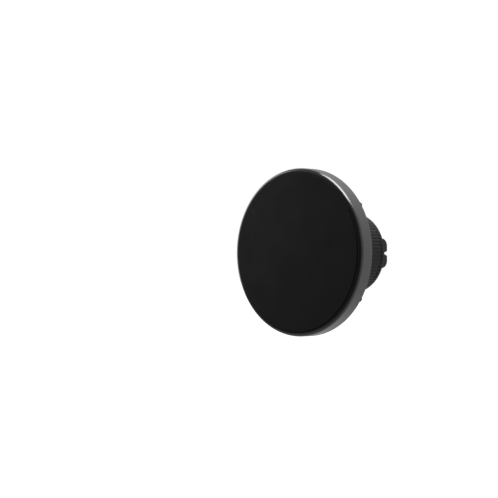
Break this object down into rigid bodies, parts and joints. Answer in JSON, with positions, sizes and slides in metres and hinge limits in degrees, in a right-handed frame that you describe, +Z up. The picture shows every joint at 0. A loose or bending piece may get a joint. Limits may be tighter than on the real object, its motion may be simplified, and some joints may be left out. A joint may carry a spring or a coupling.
{
  "type": "car phone mount",
  "caption": "Magnetic disc for a phone on a ball joint, with a twist dial that opens two jaws gripping an air vent blade.",
  "frame": {"origin": "centre of the soft pad's flat face, where the phone's back rests", "axes": "+Y from the pad's face back through the mount to the vent jaws, +X to the right as seen by someone facing the pad, +Z up"},
  "size_m": [0.0584, 0.0449, 0.0584],
  "materials": {
    "silicone_pad": "matte",
    "adhesive_film": "matte",
    "anodised_ring": "satin",
    "black_plastic": "fine texture",
    "grip_plastic": "satin",
    "jaw_plastic": "satin",
    "nickel_magnet": "polished",
    "zinc_steel": "zinc plated",
    "dark_screw": "black oxide",
    "polished_steel": "ground",
    "nylon": "natural",
    "grip_rubber": "matte"
  },
  "bodies": {
    "clip": {"socket_body": "black_plastic", "ball_seat": "nylon", "seat_spring": "zinc_steel", "dial_circlip": "dark_screw", "clip_frame": "black_plastic", "frame_screws": "dark_screw", "jaw_pins": "polished_steel", "jaw_spring": "polished_steel"},
    "lock_nut": {"lock_nut": "grip_plastic"},
    "swivel_ring": {"pressure_ring": "nylon"},
    "stud": {"ball_stud": "polished_steel", "stud_washer": "zinc_steel", "stud_screw": "dark_screw"},
    "disc": {"front_pad": "silicone_pad", "pad_adhesive": "adhesive_film", "bezel_ring": "anodised_ring", "magnet_carrier": "black_plastic", "ring_magnets": "nickel_magnet", "yoke_ring": "zinc_steel", "rear_cover": "black_plastic", "cover_screws": "dark_screw"},
    "dial": {"clamp_dial": "grip_plastic", "dial_cap": "black_plastic"},
    "wedge": {"wedge_slider": "nylon", "drive_pin": "polished_steel"},
    "upper_jaw": {"upper_jaw": "jaw_plastic", "upper_grip": "grip_rubber"},
    "lower_jaw": {"lower_jaw": "jaw_plastic", "lower_grip": "grip_rubber"}
  },
  "joints": [
    {"name": "ball_swivel", "type": "hinge", "parent": "clip", "child": "swivel_ring", "pos_m": [0, 0.017, 0], "axis": [0, 1, 0], "continuous": true},
    {"name": "ball_tilt", "type": "hinge", "parent": "swivel_ring", "child": "stud", "pos_m": [0, 0.017, 0], "axis": [1, 0, 0], "range_deg": [-25, 25]},
    {"name": "disc_spin", "type": "hinge", "parent": "stud", "child": "disc", "pos_m": [0, 0.009, 0], "axis": [0, 1, 0], "continuous": true},
    {"name": "lock_nut_turn", "type": "hinge", "parent": "clip", "child": "lock_nut", "pos_m": [0, 0.0157, 0], "axis": [0, 1, 0], "range_deg": [0, 120]},
    {"name": "dial_turn", "type": "hinge", "parent": "clip", "child": "dial", "pos_m": [0, 0.0256, 0], "axis": [0, 1, 0], "range_deg": [0, 270]},
    {"name": "wedge_slide", "type": "slide", "parent": "clip", "child": "wedge", "axis": [0, -1, 0], "range_m": [0, 0.0015]},
    {"name": "upper_jaw_pivot", "type": "hinge", "parent": "clip", "child": "upper_jaw", "pos_m": [0, 0.0308, 0.0036], "axis": [1, 0, 0], "range_deg": [0, 10], "deforming": ["jaw_spring"]},
    {"name": "lower_jaw_pivot", "type": "hinge", "parent": "clip", "child": "lower_jaw", "pos_m": [0, 0.0308, -0.0036], "axis": [-1, 0, 0], "range_deg": [0, 10], "deforming": ["jaw_spring"]}
  ],
  "couplings": [
    {"joint": "wedge_slide", "follows": "dial_turn", "m_per_rad": 0.000318},
    {"joint": "upper_jaw_pivot", "follows": "dial_turn", "ratio": 0.037},
    {"joint": "lower_jaw_pivot", "follows": "dial_turn", "ratio": 0.037}
  ]
}
